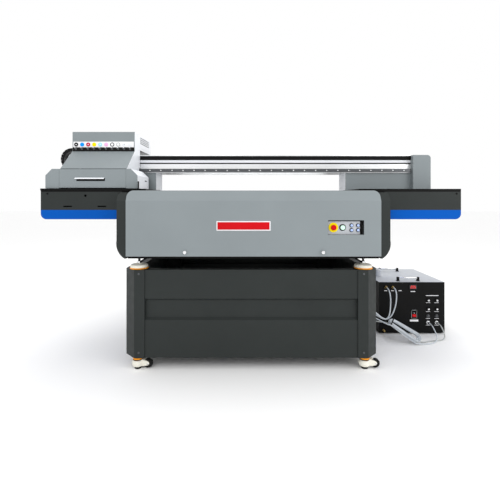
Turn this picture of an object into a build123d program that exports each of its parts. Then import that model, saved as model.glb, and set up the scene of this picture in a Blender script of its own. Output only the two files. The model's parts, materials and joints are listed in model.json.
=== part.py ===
"""Flatbed UV printer on a cabinet stand, with a travelling gantry, a print carriage and a separate lamp supply box.

Everything is built in working axes: X to the right from the bed's middle plane, Y to the rear from the face of the
front cover, Z up from the floor. put() moves it to the part's own origin, the middle of the footprint on the floor.
"""
from build123d import *
from math import cos, pi, radians, sin, tan
import os

os.makedirs("parts", exist_ok=True)

# ---- driving dimensions, mm ----
sheet = 3.0  # cover sheet thickness
gap = 0.5  # clearance between bodies

# stand
caster_height = 76.0
cabinet_top = 624.0
cabinet_half = 800.0  # half width over the corner posts
cabinet_front, cabinet_rear = 40.0, 1360.0
post_width, post_chamfer = 136.0, 72.0
post_plate = 6.0
stand_x = -13.0  # the cabinet stands a little left of the bed's middle
caster_x = 715.0
caster_y = (78.0, 1322.0)
isolator_y = (105.0, 1295.0)
wheel_radius, wheel_width, wheel_offset = 28.0, 24.0, 66.0
wheel_lift = 4.0  # the levelling feet carry the machine, so the wheels hang clear of the floor

# bed
bed_bottom = 697.0
bed_depth = 1600.0
cover_half = 780.0
cover_bottom, cover_bend, cover_top = 714.0, 1054.0, 1118.0
cover_lean = 34.0  # how far the sloping band runs back
side_half = 838.0
side_top = 1106.0
table_half, table_front, table_rear, table_top = 640.0, 130.0, 1470.0, 1110.0
rail_x, rail_width, rail_bottom, rail_top = 710.0, 23.0, 1040.0, 1060.0

# gantry
wing_left, wing_right, wing_inner = -1367.0, 1337.0, 846.0
wing_front, wing_rear = 120.0, 720.0
skirt_bottom, wing_bottom, wing_top, plate_top = 935.0, 995.0, 1112.0, 1131.0
plate_inner = {-1: -690.0, 1: 677.0}  # bed side of the wing plates
leg_inner = {-1: -703.0, 1: 677.0}
beam_front, beam_rear, beam_bottom, beam_top = 430.0, 612.0, 1257.0, 1350.0
beam_left, beam_right = -1270.0, 1153.0
leg_outer = beam_right
cap_front, cap_rear, cap_top = 390.0, 625.0, 1383.0

# carriage
housing_left, housing_right = -1252.0, -820.0
housing_bottom, housing_knee, housing_top = 1263.0, 1399.0, 1532.0
housing_front, housing_knee_y, housing_rear = 140.0, 304.0, 706.0
arch_y, arch_z = 425.0, 1420.0  # corner of the arch that clears the beam
lamp_left, lamp_right = -1340.0, -746.0  # outer faces of the two lamp housings
lamp_rear, lamp_bottom, lamp_top = 385.0, 1134.0, 1260.0
switch_count, switch_pitch, switch_z = 10, 41.8, 1412.5
switch_first = -1227.0
chain_x, chain_z, chain_radius, chain_height = -1418.0, 1380.0, 87.0, 26.0
chain_front, chain_rear = 632.0, 692.0

# lamp supply box
box_left, box_right, box_front, box_rear = 1002.0, 1520.0, 649.0, 1190.0
box_bottom, box_lid, box_top = 10.0, 400.0, 410.0

# origin: middle of the footprint of everything but the loose cords
origin_x = (box_right + chain_x - chain_radius) / 2
origin_y = bed_depth / 2


# ---- helpers ----
def block(x0, x1, y0, y1, z0, z1):
    """An axis-aligned box between two corners."""
    return Pos((x0 + x1) / 2, (y0 + y1) / 2, (z0 + z1) / 2) * Box(abs(x1 - x0), abs(y1 - y0), abs(z1 - z0))


def face_of(points):
    return make_face(Polyline(*points, close=True))


def along_x(points_yz, x0, x1):
    """A prism along X on an outline of (y, z) points."""
    plane = Plane(origin=(x0, 0, 0), x_dir=(0, 1, 0), z_dir=(1, 0, 0))
    return extrude(plane * face_of(points_yz), x1 - x0)


def along_y(points_xz, y0, y1):
    """A prism along Y on an outline of (x, z) points."""
    plane = Plane(origin=(0, y1, 0), x_dir=(1, 0, 0), z_dir=(0, -1, 0))
    return extrude(plane * face_of(points_xz), y1 - y0)


def along_z(points_xy, z0, z1):
    return extrude(Pos(0, 0, z0) * face_of(points_xy), z1 - z0)


def rod(start, direction, radius, length):
    """A cylinder from start along direction."""
    return extrude(Plane(origin=start, z_dir=direction) * Circle(radius), length)


def mirror_x(shape):
    return mirror(shape, about=Plane.YZ)


def square_tube(x0, x1, y0, y1, z0, z1, axis, wall=4.0):
    """A hollow section, open at both ends along axis."""
    inset = [wall] * 3
    inset["xyz".index(axis)] = -1.0
    inner = block(x0 + inset[0], x1 - inset[0], y0 + inset[1], y1 - inset[1], z0 + inset[2], z1 - inset[2])
    return block(x0, x1, y0, y1, z0, z1) - inner


written = {}


def put(name, *shapes):
    """Writes one node, moved to the part's own origin."""
    solids = [s for shape in shapes for s in shape.solids()]
    moved = [Pos(-origin_x, -origin_y, 0) * s for s in solids]
    written[name] = Compound(children=moved) if len(moved) > 1 else moved[0]
    export_step(written[name], f"parts/{name}.step")


# ---- stand ----
def post_outline(side, end):
    """Corner post seen from above; side is -1 left or 1 right, end is -1 front or 1 rear."""
    outer = cabinet_half
    inner = cabinet_half - post_width
    face = cabinet_front if end < 0 else cabinet_rear
    back = face - end * post_width
    return [
        (side * inner, face),
        (side * (outer - post_chamfer), face),
        (side * outer, face - end * post_chamfer),
        (side * outer, back),
        (side * inner, back),
    ]


corners = [(side, end) for side in (-1, 1) for end in (-1, 1)]


def make_posts():
    posts = []
    for side, end in corners:
        outline = face_of(post_outline(side, end))
        ring = outline - offset(outline, amount=-sheet)
        posts.append(extrude(Pos(0, 0, caster_height + post_plate) * ring, cabinet_top - caster_height - 2 * post_plate))
    return posts


def make_cabinet_frame():
    """End plates of the posts, and the tube frame that ties them together behind the panels."""
    tube = 40.0
    low = caster_height + post_plate
    high = cabinet_top - post_plate - tube
    frame = []
    for side, end in corners:
        outline = post_outline(side, end)
        frame.append(along_z(outline, caster_height, caster_height + post_plate))
        frame.append(along_z(outline, cabinet_top - post_plate, cabinet_top))
    inner = cabinet_half - post_width
    for z in (low, high):
        for y in (cabinet_front + 60, cabinet_rear - 60 - tube):
            frame.append(square_tube(-inner, inner, y, y + tube, z, z + tube, "x"))
        for x in (-cabinet_half + 20, cabinet_half - 20 - tube):
            frame.append(square_tube(x, x + tube, cabinet_front + post_width, cabinet_rear - post_width, z, z + tube, "y"))
    return frame


def folded_panel(z_low, z_high):
    """Panel section as (depth, z), with the long pressed recess across its middle."""
    front = [(0, z_high), (0, 444), (18, 433), (18, 325), (0, 311), (0, z_low)]
    return front + [(d + 2.5, z) for d, z in reversed(front)]


def make_cabinet_panels():
    inner = cabinet_half - post_width
    section = folded_panel(caster_height, cabinet_top)
    front = along_x([(cabinet_front + 6 + d, z) for d, z in section], -inner, inner)
    rear = along_x([(cabinet_rear - 6 - d, z) for d, z in section], -inner, inner)
    for row in range(6):
        z = 500 + row * 16
        for x in (-420, 240):
            rear -= block(x, x + 180, cabinet_rear - 20, cabinet_rear, z, z + 6)
    y0, y1 = cabinet_front + post_width, cabinet_rear - post_width
    plain = caster_height, cabinet_top
    right = block(cabinet_half - 9, cabinet_half - 6.5, y0, y1, *plain)
    for y, z in cable_entries:
        right -= rod((cabinet_half - 12, y, z), (1, 0, 0), entry_radius, 10)
    left = block(-cabinet_half + 6.5, -cabinet_half + 9, y0, y1, *plain)
    return [front, rear, right, left]


def make_isolator(x, y):
    """Vibration pad on the cabinet top: rubber ring, domed cap and the stud that carries the bed."""
    ring = rod((x, y, cabinet_top), (0, 0, 1), 58, 7)
    dome = rod((x, y, cabinet_top + 7), (0, 0, 1), 55, 15)
    dome = chamfer(dome.edges().group_by(Axis.Z)[-1], 8)
    nut = extrude(Pos(x, y, cabinet_top + 22) * RegularPolygon(16, 6), 11)
    stud = rod((x, y, cabinet_top + 33), (0, 0, 1), 8, bed_bottom - cabinet_top - 33)
    return ring + dome + nut + stud


def make_caster(x, y):
    """Levelling caster: swivel housing with its foot on the floor, and a wheel behind it."""
    body = rod((x, y, 14), (0, 0, 1), 35, 44) + rod((x, y, 58), (0, 0, 1), 29, 11)
    body += rod((x, y, 0), (0, 0, 1), 21, 14) + rod((x, y, 69), (0, 0, 1), 10, caster_height - gap - 69)
    centre_x, centre_z = x + wheel_offset, wheel_radius + wheel_lift
    for side in (-1, 1):
        cheek = rod((centre_x, y + side * 13, centre_z), (0, side, 0), 22, 4)
        arm = block(x, centre_x, y + side * 13, y + side * 17, centre_z - 10, centre_z + 16)
        body += cheek + arm
    body += rod((centre_x, y - 15, centre_z), (0, 1, 0), 4, 30)
    wheel = rod((centre_x, y - wheel_width / 2, centre_z), (0, 1, 0), wheel_radius, wheel_width)
    wheel -= rod((centre_x, y - 30, centre_z), (0, 1, 0), 4.05, 60)
    return body, wheel


# ---- bed ----
window = (456.0, 675.0, 847.0, 935.0)  # control window: x0, x1, z0, z1
panel_y = 20.0  # face of the recessed control plate


def make_front_cover():
    outer = [(0, cover_bottom), (0, cover_bend), (cover_lean, cover_top), (70, cover_top)]
    inner = [(70, cover_top - sheet), (cover_lean + 2, cover_top - sheet), (sheet, cover_bend - 1)]
    inner += [(sheet, cover_bottom + sheet), (40, cover_bottom + sheet), (40, cover_bottom)]
    cover = along_x(outer + inner, -cover_half, cover_half)
    end = outer + [(70, cover_top - 40), (40, cover_bend - 60), (40, cover_bottom)]
    for side in (-1, 1):
        cover += along_x(end, side * cover_half, side * (cover_half - sheet))
    radius = 36.0
    x, z = cover_half - radius, cover_top - radius
    for side in (-1, 1):
        corner = block(side * x, side * (cover_half + 1), -1, 80, z, cover_top + 1)
        corner -= rod((side * x, -2, z), (0, 1, 0), radius, 90)
        cover -= corner
    x0, x1, z0, z1 = window
    return cover - block(x0, x1, -1, 10, z0, z1)


def side_outline(inset=0.0, inner=cover_half):
    """Right side cover seen from the front, with its curved lower edge."""
    outer = side_half - inset
    return Polyline((inner, bed_bottom + 3 + inset), (790, bed_bottom + 3 + inset)) + ThreePointArc(
        (790, bed_bottom + 3 + inset), (outer - 9, 744 + inset / 2), (outer, 812)
    ) + Polyline((outer, 812), (outer, side_top - 14), (outer - 14, side_top - inset), (inner, side_top - inset)) + Line(
        (inner, side_top - inset), (inner, bed_bottom + 3 + inset)
    )


def make_side_cover():
    """Right side cover: an open-backed shell whose front end slopes like the front cover."""

    def prism(outline, y0, y1):
        plane = Plane(origin=(0, y1, 0), x_dir=(1, 0, 0), z_dir=(0, -1, 0))
        return extrude(plane * make_face(outline), y1 - y0)

    front = 6.0
    wedge = along_x([(-5, cover_bend), (front, cover_bend), (front + cover_lean, cover_top), (-5, cover_top)], 700, 900)
    cover = prism(side_outline(), front, bed_depth - sheet) - wedge
    hollow = prism(side_outline(sheet, cover_half - 1), front + sheet, bed_depth)
    cover -= hollow - Pos(0, sheet, 0) * wedge
    return cover


def make_rear_cover():
    cover = block(-side_half, side_half, bed_depth - sheet, bed_depth, bed_bottom + 3, side_top)
    for row in range(8):
        z = 800 + row * 18
        for x in (-500, -150, 200):
            cover -= block(x, x + 220, bed_depth - 10, bed_depth + 1, z, z + 7)
    return cover


def make_chassis():
    """Bed tray, two box beams for the travel rails, their posts, and cross beams under the table."""
    y0, y1 = 30.0, bed_depth - sheet
    tray = block(-776, 776, y0, y1, bed_bottom, cover_bottom)
    tray -= block(-773, 773, y0 + 3, y1 - 3, bed_bottom + 3, cover_bottom + 1)
    parts = [tray]
    for side in (-1, 1):
        x0, x1 = sorted((side * 660, side * 760))
        parts.append(square_tube(x0, x1, 90, 1560, 940, rail_bottom, "y", 5))
        for y in (100, 760, 1440):
            parts.append(square_tube(x0, x1, y, y + 80, bed_bottom + 3, 940, "z", 5))
    for y in (200, 780, 1360):
        parts.append(square_tube(-660, 660, y, y + 60, 1000, 1060, "x", 5))
    return parts


def make_table():
    """Vacuum table: top plate with its suction slots, over a plenum."""
    top = block(-table_half, table_half, table_front, table_rear, 1082, table_top)
    for column in range(9):
        x = -560 + column * 140
        top -= block(x - 1.5, x + 1.5, table_front + 60, table_rear - 60, table_top - 2, table_top + 1)
    plenum = block(-560, 560, table_front + 60, table_rear - 60, 1060, 1082)
    return top + plenum


def make_travel_rails():
    return [
        block(side * rail_x - rail_width / 2, side * rail_x + rail_width / 2, 100, 1540, rail_bottom, rail_top)
        for side in (-1, 1)
    ]


# control buttons: name, x, z, cap radius, cap thickness, stem radius, travel
buttons = [
    ("emergency_stop_button", 491.0, 890.0, 19.0, 9.0, 10.7, 6.0),
    ("start_button", 548.0, 890.0, 14.0, 8.0, 8.0, 3.0),
    ("light_button", 603.0, 903.0, 8.0, 6.0, 5.0, 2.0),
    ("vacuum_button", 643.0, 903.0, 8.0, 6.0, 5.0, 2.0),
    ("lift_button", 603.0, 874.0, 8.0, 6.0, 5.0, 2.0),
    ("home_button", 643.0, 874.0, 8.0, 6.0, 5.0, 2.0),
]


def make_control_panel():
    """Recessed control tray behind the front cover, with a collar round each button."""
    x0, x1, z0, z1 = window
    tray = block(x0 - 4, x1 + 4, sheet, panel_y + 5, z0 - 4, z1 + 4) - block(x0, x1, 0, panel_y, z0, z1)
    for name, x, z, radius, thick, stem, travel in buttons:
        collar = 29.0 if name.startswith("emergency") else radius + 4
        tray += rod((x, panel_y, z), (0, -1, 0), collar, 2)
    for name, x, z, radius, thick, stem, travel in buttons:
        tray -= rod((x, panel_y + 10, z), (0, -1, 0), stem + 0.4, 20)
    return tray


def make_button(x, z, radius, thick, stem, travel):
    face = panel_y - 2 - travel - thick - 1
    cap = rod((x, face, z), (0, 1, 0), radius, thick)
    cap = fillet(cap.edges().group_by(Axis.Y)[0], min(2.5, thick / 3))
    return cap + rod((x, face + thick, z), (0, 1, 0), stem, panel_y + 4 - face - thick)


# ---- gantry ----
cap_opening = {-1: (-1235.0, -855.0), 1: (700.0, 1035.0)}  # where the print heads come down for capping
head_front, head_rear = 150.0, 380.0
trim_end = -734.0  # upturned end of the black trim along the left wing


def wing_span(side):
    return (wing_left, -wing_inner) if side < 0 else (wing_inner, wing_right)


def make_wing_box(side):
    x0, x1 = wing_span(side)
    shell = block(x0, x1, wing_front, wing_rear, wing_bottom, wing_top)
    shell -= block(x0 + sheet, x1 - sheet, wing_front + sheet, wing_rear - sheet, wing_bottom + sheet, wing_top + 1)
    if side < 0:
        for x in (-1194, -974):
            shell -= block(x - 28, x + 28, wing_front - 1, wing_front + 10, 1014, 1022)
        shell -= rod((-1080, wing_front - 1, 1087), (0, 1, 0), 8, 10)
    return shell


def make_wing_skirt(side):
    """Coloured tray under a wing, rounded at its outer bottom edge."""
    x0, x1 = wing_span(side)
    radius = 37.0
    outer = x0 if side < 0 else x1

    def tray(inset):
        solid = block(x0 + inset, x1 - inset, wing_front + inset, wing_rear - inset, skirt_bottom + inset, wing_bottom)
        edge = solid.edges().filter_by(Axis.Y).sort_by_distance((outer, wing_front, skirt_bottom))[0]
        return fillet(edge, radius - inset)

    return tray(0) - tray(sheet)


def make_wing_plate(side):
    """Black lid of a wing, running inwards over the bed's side to carry the gantry leg."""
    x0, x1 = (wing_left, plate_inner[-1]) if side < 0 else (plate_inner[1], wing_right)
    plate = block(x0, x1, wing_front, wing_rear, wing_top, plate_top)
    plate -= block(x0 + 4, x1 - 4, wing_front + 4, wing_rear - 4, wing_top - 1, plate_top - 4)
    o0, o1 = cap_opening[side]
    plate -= block(o0, o1, head_front, head_rear, wing_top - 1, plate_top + 1)
    if side < 0:
        plate += block(x0, trim_end, wing_front - 6, wing_front, wing_top + 8, plate_top + 2)
        plate += block(trim_end - 8, trim_end, wing_front - 6, wing_front, wing_top + 8, 1179)
    return plate


def make_leg(side):
    """Box leg on the plate, and the two bearing blocks under it that run on the travel rail."""
    x0, x1 = sorted((leg_inner[side], side * leg_outer))
    leg = square_tube(x0, x1, beam_front, beam_rear, plate_top, beam_bottom, "z", 4)
    legs = [leg]
    for y in (beam_front + 5, beam_front + 105):
        bearing = block(side * rail_x - 15, side * rail_x + 40, y, y + 75, rail_bottom + 6, plate_top - 4)
        if side < 0:
            bearing = block(side * rail_x - 40, side * rail_x + 15, y, y + 75, rail_bottom + 6, plate_top - 4)
        slot = rail_width / 2 + 0.3
        bearing -= block(side * rail_x - slot, side * rail_x + slot, y - 1, y + 80, rail_bottom, rail_top + 0.4)
        legs.append(bearing)
    return legs


def make_beam():
    """Extruded gantry beam with a slot for the drive belt, hollow inside."""
    section = [
        (beam_front, beam_bottom), (beam_front, 1321), (beam_front + 10, 1321), (beam_front + 10, 1330),
        (beam_front, 1330), (beam_front, beam_top), (beam_rear, beam_top), (beam_rear, beam_bottom),
    ]
    beam = along_x(section, beam_left, beam_right)
    for y0, y1 in ((445, 515), (523, 604)):
        beam -= block(beam_left - 1, beam_right + 1, y0, y1, beam_bottom + 8, beam_top - 8)
    return beam


def make_beam_rail():
    rail = block(beam_left + 6, beam_right - 8, beam_front - 20, beam_front, 1262, 1285)
    pitch = 80.0
    for hole in range(30):
        rail -= rod((beam_left + 46 + hole * pitch, beam_front - 21, 1273.5), (0, 1, 0), 5, 12)
    return rail


def make_end_caps():
    """Grey end housings of the beam. The left one is shallow, because the carriage parks in front of it."""
    right = block(beam_right, beam_right + 126, cap_front, cap_rear, plate_top, cap_top)
    right = fillet(right.edges().filter_by(Axis.Y).sort_by_distance((1279, cap_front, cap_top))[0], 24)
    right -= block(beam_right - 1, beam_right + 123, cap_front + 40, cap_rear - 4, plate_top + 4, cap_top - 8)
    left = block(beam_left - 70, beam_left, beam_front + 5, beam_rear + 8, plate_top, cap_top)
    left -= block(beam_left - 67, beam_left + 1, beam_front + 8, beam_rear + 4, plate_top + 4, cap_top - 4)
    return [left, right]


def make_cable_tray():
    """Black cover along the beam's top, and the tray behind it with the lower run of the cable chain."""
    cover = block(beam_left, beam_right, beam_front - 4, beam_rear, beam_top, 1383)
    cover -= block(beam_left - 1, beam_right + 1, beam_front, beam_rear - 4, beam_top + 4, 1380)
    run_top = chain_z - chain_radius - 1
    run_bottom = run_top - chain_height
    tray = block(chain_x - 20, 1140, beam_rear + 13, chain_rear + 8, run_bottom - 4, run_bottom)
    tray += block(chain_x - 20, 1140, chain_rear + 4, chain_rear + 8, run_bottom, run_top)
    for x in (-600, -100, 400, 900):
        tray += block(x, x + 40, beam_rear, beam_rear + 13, run_bottom - 4, run_top + 10)
    run = block(chain_x - 10, 550, chain_front, chain_rear, run_bottom, run_top)
    return [cover, tray, run]


def make_capping_station():
    """Caps, wiper and spit trays inside the wings."""
    x0, x1 = cap_opening[-1]
    base = block(x0 + 20, x1 - 20, head_front + 10, head_rear - 10, wing_bottom + sheet, 1040)
    parts = base
    for column in range(3):
        for row in range(2):
            x, y = x0 + 60 + column * 90, head_front + 30 + row * 95
            cup = block(x, x + 60, y, y + 75, 1040, 1090) - block(x + 5, x + 55, y + 5, y + 70, 1060, 1091)
            parts += cup
    parts += block(x1 - 60, x1 - 56, head_front + 30, head_rear - 30, 1040, 1108)
    spit = block(860, 1030, head_front + 10, head_rear - 10, wing_bottom + sheet, 1060)
    spit -= block(866, 1024, head_front + 16, head_rear - 16, wing_bottom + 12, 1061)
    return [parts, spit]


# ---- carriage ----
arm_left, arm_right, arm_bottom, arm_top = -1230.0, -1150.0, 1392.0, 1400.0  # arm over the beam to the chain


def make_housing():
    """Upper carriage shell: ink tanks behind its front face, and an arch that clears the beam."""
    outline = [
        (housing_front, housing_bottom), (housing_knee_y, housing_knee), (housing_knee_y, housing_top),
        (housing_rear, housing_top), (housing_rear, arch_z), (arch_y, arch_z), (arch_y, housing_bottom),
    ]
    shell = along_x(outline, housing_left, housing_right)
    inside = [
        (housing_front + 5, housing_bottom - 1), (housing_knee_y + 3, housing_knee - 2),
        (housing_knee_y + 3, housing_top - 3), (housing_rear - 3, housing_top - 3), (housing_rear - 3, arch_z + 3),
        (arch_y - 3, arch_z + 3), (arch_y - 3, housing_bottom - 1),
    ]
    shell -= along_x(inside, housing_left + sheet, housing_right - sheet)
    shell -= block(-1206, -864, arch_y - 10, arch_y + 10, housing_bottom - 1, 1302)
    shell -= block(housing_left - 1, housing_right + 1, beam_front - 24, arch_y + 1, housing_bottom - 1, 1290)
    shell -= block(arm_left - 6, arm_right + 6, arch_y - 10, arch_y + 10, housing_bottom - 1, arm_top + 4)
    for x in (housing_left, housing_right - sheet):
        shell += block(x, x + sheet, 141, lamp_rear, 1137, housing_bottom)
    for index in range(switch_count):
        x = switch_first + index * switch_pitch
        shell -= rod((x, housing_knee_y - 1, switch_z), (0, 1, 0), 9, 6)
    for row in range(4):
        z = 1470 + row * 13
        shell -= block(housing_right - 5, housing_right + 1, 430, 660, z, z + 5)
    return shell


def make_ink_switch(index):
    """Toggle lever of one ink channel, tilted up in its rest position."""
    x = switch_first + index * switch_pitch
    pivot_y = housing_knee_y + 4
    tilt = radians(14)
    direction = (0, -cos(tilt), sin(tilt))
    lever = rod((x, pivot_y, switch_z), direction, 2.6, 24)
    tip = Pos(x, pivot_y + 22 * direction[1], switch_z + 22 * direction[2]) * Sphere(4.2)
    ball = Pos(x, pivot_y, switch_z) * Sphere(5)
    return lever + tip + ball


def make_ink_tanks():
    """Bank of small ink tanks behind the front face, on a shelf over the beam."""
    shelf = block(housing_left + 4, housing_right - 4, 330, 700, arch_z + 3, arch_z + 6)
    bank = shelf
    for index in range(switch_count):
        x = switch_first + index * switch_pitch
        bank += block(x - 17, x + 17, 345, 470, arch_z + 6, 1510)
    return bank


def make_lamp(side):
    """Lamp housing at one side of the carriage, open below, with the lamp block inside it."""
    x0, x1 = (lamp_left, housing_left) if side < 0 else (housing_right, lamp_right)
    outer, inner = (x0, x1) if side < 0 else (x1, x0)
    cut = 42.0

    def outline(inset):
        step = inset if side < 0 else -inset
        return [
            (outer + step, lamp_bottom - (1 if inset else 0)), (outer + step, lamp_top - cut),
            (outer - side * cut, lamp_top - inset), (inner - step, lamp_top - inset),
            (inner - step, lamp_bottom - (1 if inset else 0)),
        ]

    shell = along_y(outline(0), 125, lamp_rear)
    shell -= along_y(outline(sheet), 125 + sheet, lamp_rear - sheet)
    lamp = block(x0 + 10, x1 - 10, 150, 360, lamp_bottom + 3, 1190)
    for fin in range(6):
        y = 165 + fin * 34
        lamp -= block(x0, x1, y, y + 12, 1160, 1191)
    lamp += block(x0 + sheet, x1 - sheet, 240, 260, 1170, 1180)
    return shell + lamp


def make_carriage_plate():
    """Back plate with the bearing blocks on the beam rail, and the arm over the beam that pulls the chain."""
    back = lamp_rear + sheet
    plate = block(housing_left, housing_right, back, back + 7, 1137, 1255)
    plate += block(-1200, -870, back, back + 7, 1255, 1297)
    for x in (-1200, -950):
        bearing = block(x, x + 80, back + 7, beam_front - 4, 1250, 1297)
        bearing -= block(x - 1, x + 81, beam_front - 20.4, beam_front, 1261.6, 1285.4)
        plate += bearing
    plate += block(arm_left, arm_right, back, back + 7, 1255, arm_top)
    plate += block(arm_left, arm_right, back, chain_rear, arm_bottom, arm_top)
    end = housing_left - 44
    plate += block(end, arm_right, chain_front + 8, chain_rear - 8, arm_bottom, arm_top)
    chain_under = chain_z + chain_radius - chain_height
    return plate + block(end, end + 4, chain_front + 8, chain_rear - 8, arm_bottom, chain_under)


def make_chain_loop():
    """Rolling end of the cable chain, from the carriage round to the top of the lower run."""
    outer = rod((chain_x, chain_front, chain_z), (0, 1, 0), chain_radius, chain_rear - chain_front)
    inner = rod((chain_x, chain_front - 1, chain_z), (0, 1, 0), chain_radius - chain_height, chain_rear - chain_front + 2)
    loop = outer - inner
    loop -= block(chain_x, chain_x + 200, chain_front - 1, chain_rear + 1, chain_z - 200, chain_z + 200)
    run_end = housing_left - 1
    loop += block(chain_x, run_end, chain_front, chain_rear, chain_z + chain_radius - chain_height, chain_z + chain_radius)
    return loop


def make_carriage_door():
    door = block(housing_left + 1, housing_right - 1, 125, 139, 1138, 1259)
    return door - block(-1141, -956, 124, 135, 1181, 1200)


def make_print_heads():
    """Head plate with its rows of print heads, driver boards above."""
    plate = block(housing_left + sheet, housing_right - sheet, 160, 372, 1160, 1168)
    for column in range(3):
        for row in range(2):
            x, y = -1175 + column * 90, 180 + row * 95
            plate += block(x, x + 60, y, y + 75, 1134, 1160)
            plate += block(x + 10, x + 14, y + 50, y + 75, 1168, 1225)
    return plate


# ---- lamp supply box ----
hose_ports = ((1054.0, 371.0), (1108.0, 371.0))
port_columns = (1389.0, 1456.0)
knob_rows = (268.0, 199.0)
socket_rows = (143.0, 91.0)
knob_radius = 11.5
rocker_x, rocker_z = 1278.0, 157.0
handle_places = ((1249.0, 692.0), (1243.0, 1080.0))
handle_length, handle_rise = 178.0, 32.0
filler_x, filler_y = 1068.0, 890.0
foot_spots = [(x, y) for x in (box_left + 40, box_right - 40) for y in (box_front + 40, box_rear - 40)]


def make_box_case():
    """Sheet case of the supply: floor, rear and side walls, with its lid and four rubber feet."""
    case = block(box_left, box_right, box_front + 3, box_rear, box_bottom, box_lid)
    case -= block(box_left + 2, box_right - 2, box_front + 2, box_rear - 2, box_bottom + 2, box_lid + 1)
    for x, y in foot_spots:
        case += rod((x, y, 0), (0, 0, 1), 18, box_bottom)
    lid = block(box_left, box_right, box_front, box_rear, box_lid, box_top)
    lid -= block(box_left + 4, box_right - 4, box_front + 4, box_rear - 4, box_lid - 1, box_top - 3)
    cap = rod((filler_x, filler_y, box_top), (0, 0, 1), 35, 60)
    return [case, lid, fillet(cap.edges().group_by(Axis.Z)[-1], 6)]


def make_box_panel():
    """Front panel of the supply, with the cut-outs for its knobs and its power switch."""
    panel = block(box_left, box_right, box_front, box_front + 3, box_bottom, box_lid)
    panel -= block(rocker_x - 15, rocker_x + 15, box_front - 1, box_front + 5, rocker_z - 25, rocker_z + 25)
    for x in port_columns:
        for z in knob_rows:
            panel -= rod((x, box_front - 1, z), (0, 1, 0), 3.5, 10)
    return panel


def make_handle(x, y):
    """Bail handle along X: a round grip between two end posts."""
    half = handle_length / 2
    grip = rod((x - half, y, box_top + handle_rise - 8), (1, 0, 0), 7, handle_length)
    for end in (-half + 9, half - 9):
        grip += block(x + end - 9, x + end + 9, y - 9, y + 9, box_top, box_top + handle_rise)
    return grip


def make_box_fittings():
    """Hose fittings, cable sockets, display, switch bezel and drain cock on the front of the supply."""
    fittings = []
    for x, z in hose_ports:
        fittings.append(rod((x, box_front, z), (0, -1, 0), 9, 10) + rod((x, box_front - 10, z), (0, -1, 0), 7, 14))
    for x in port_columns:
        for z in socket_rows:
            socket = rod((x, box_front, z), (0, -1, 0), 13, 5) + rod((x, box_front - 5, z), (0, -1, 0), 9, 10)
            if z == socket_rows[-1]:
                socket += rod((x, box_front - 15, z), (0, -1, 0), 7.5, 15)
            fittings.append(socket)
    fittings.append(block(1238, 1302, box_front - 3, box_front, 353, 392))
    bezel = block(rocker_x - 22, rocker_x + 22, box_front - 3, box_front, rocker_z - 33, rocker_z + 33)
    bezel -= block(rocker_x - 15, rocker_x + 15, box_front - 4, box_front + 1, rocker_z - 25, rocker_z + 25)
    fittings.append(bezel)
    fittings.append(rod((1036, box_front, 32), (0, -1, 0), 7, 24))
    return fittings


def make_box_knob(x, z):
    """Lamp power knob with its shaft through the panel, and a flat on its grip."""
    knob = rod((x, box_front - 14, z), (0, 1, 0), knob_radius, 13)
    knob -= block(x - 20, x - knob_radius + 2, box_front - 20, box_front, z - 20, z + 20)
    return knob + rod((x, box_front - 1, z), (0, 1, 0), 3.2, 12)


def make_rocker():
    """Rocker of the supply's power switch, turning on a pin across the bezel."""
    drum = rod((rocker_x - 14, box_front + 14, rocker_z), (1, 0, 0), 27, 28)
    return drum & block(rocker_x - 14, rocker_x + 14, box_front - 20, box_front + 1, rocker_z - 20, rocker_z + 20)


# ---- free cords ----
tube_radius = 5.0
cable_radius = 4.0
entry_radius = 8.0
cable_entries = ((560.0, 262.0), (584.0, 226.0), (556.0, 190.0), (584.0, 154.0))  # y, z in the cabinet's side
entry_x = cabinet_half - 10 + stand_x

tube_a_route = [
    (1054, 625, 371), (1054, 605, 371), (1060, 588, 352), (1064, 578, 318), (1064, 574, 266), (1058, 568, 212),
    (1048, 564, 168), (1028, 562, 144), (994, 562, 154), (948, 562, 194), (900, 561, 234), (846, 560, 259),
    (812, 560, 262), (entry_x, 560, 262),
]
tube_b_route = [
    (1108, 625, 371), (1108, 604, 371), (1112, 588, 350), (1112, 578, 312), (1104, 574, 258), (1092, 577, 208),
    (1074, 582, 164), (1046, 585, 138), (1008, 586, 140), (956, 586, 170), (904, 585, 204), (846, 584, 224),
    (812, 584, 226), (entry_x, 584, 226),
]
lamp_drop_a = [
    (1389, 619, 91), (1389, 596, 91), (1392, 570, 74), (1396, 544, 48), (1392, 516, 28), (1376, 488, 15),
    (1350, 464, 8), (1316, 446, 5.5), (1278, 434, 6), (1238, 426, 10),
]
lamp_tail_a = [
    (1010, 494, 128), (978, 512, 144), (940, 532, 160), (900, 546, 176), (852, 554, 188), (812, 556, 190),
    (entry_x, 556, 190),
]
lamp_route_b = [
    (1456, 619, 91), (1456, 596, 91), (1460, 572, 72), (1462, 545, 42), (1452, 521, 16), (1424, 508, 5),
    (1384, 503, 4.2), (1338, 494, 4.2), (1296, 480, 4.4), (1262, 468, 6), (1228, 460, 14), (1180, 480, 43),
    (1126, 504, 76), (1070, 528, 110), (1046, 538, 120), (1014, 548, 126), (980, 560, 126), (944, 571, 129),
    (902, 579, 138), (856, 584, 149), (812, 584, 154), (entry_x, 584, 154),
]


def cord_tube(points, radius):
    """A round cord on straight runs joined by the largest arcs that each pair of runs allows."""
    radii = []
    for a, b, c in zip(points, points[1:], points[2:]):
        run_in, run_out = Vector(b) - Vector(a), Vector(c) - Vector(b)
        turn = radians(run_in.get_angle(run_out))
        radii.append(0.45 * min(run_in.length, run_out.length) / tan(turn / 2))
    path = FilletPolyline(*points, radius=radii)
    tube = sweep(Plane(origin=path @ 0, z_dir=path % 0) * Circle(radius), path=path)
    share = tube.volume / (pi * radius**2 * path.length)
    print("cord", round(path.length), "mm, volume share", round(share, 4), "radii", [round(r) for r in radii])
    return tube


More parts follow.
